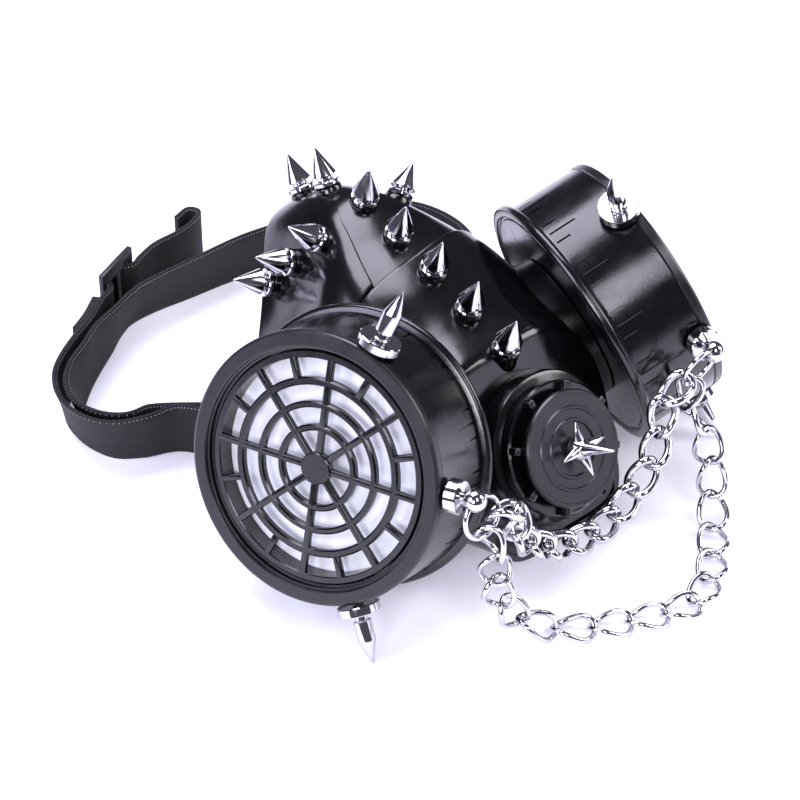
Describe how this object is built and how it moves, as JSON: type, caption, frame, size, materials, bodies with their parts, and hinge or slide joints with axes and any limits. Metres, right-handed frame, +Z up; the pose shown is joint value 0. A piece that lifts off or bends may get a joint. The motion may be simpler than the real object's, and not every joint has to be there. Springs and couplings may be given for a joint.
{
  "type": "gas mask style costume mask",
  "caption": "Black vinyl costume half mask with round side canisters, a front valve, chrome spikes and chains, and an elastic head strap.",
  "frame": {"origin": "middle of the part's box on the floor that it lies on", "axes": "+Z up from the floor; +Y back from the valve towards the face opening and the strap; +X towards the wearer's left"},
  "size_m": [0.1802, 0.2522, 0.1066],
  "materials": {
    "vinyl_black": "glossy",
    "canister_black": "semi-gloss",
    "chrome": "polished",
    "filter_white": "matte felt",
    "strap_black": "woven elastic",
    "buckle_black": "moulded"
  },
  "bodies": {
    "root": {"facepiece_shell": "vinyl_black", "valve_flange": "vinyl_black", "valve_cage": "canister_black", "valve_cover": "canister_black", "left_canister_drum": "canister_black", "left_canister_bezel": "canister_black", "left_grille": "canister_black", "right_canister_drum": "canister_black", "right_canister_bezel": "canister_black", "right_grille": "canister_black", "valve_star": "chrome", "short_chain": "chrome", "long_chain": "chrome", "ridge_spike_1": "chrome", "ridge_spike_2": "chrome", "ridge_spike_3": "chrome", "ridge_spike_4": "chrome", "ridge_spike_5": "chrome", "ridge_spike_6": "chrome", "ridge_spike_7": "chrome", "left_upper_spike": "chrome", "left_lower_spike": "chrome", "left_ring_stud": "chrome", "left_jump_ring": "chrome", "left_side_spike_1": "chrome", "left_side_spike_2": "chrome", "left_side_spike_3": "chrome", "right_upper_spike": "chrome", "right_lower_spike": "chrome", "right_ring_stud": "chrome", "right_jump_ring": "chrome", "right_side_spike_1": "chrome", "right_side_spike_2": "chrome", "right_side_spike_3": "chrome", "left_filter_disc": "filter_white", "right_filter_disc": "filter_white", "strap_band": "strap_black", "strap_slide": "buckle_black"}
  },
  "joints": []
}
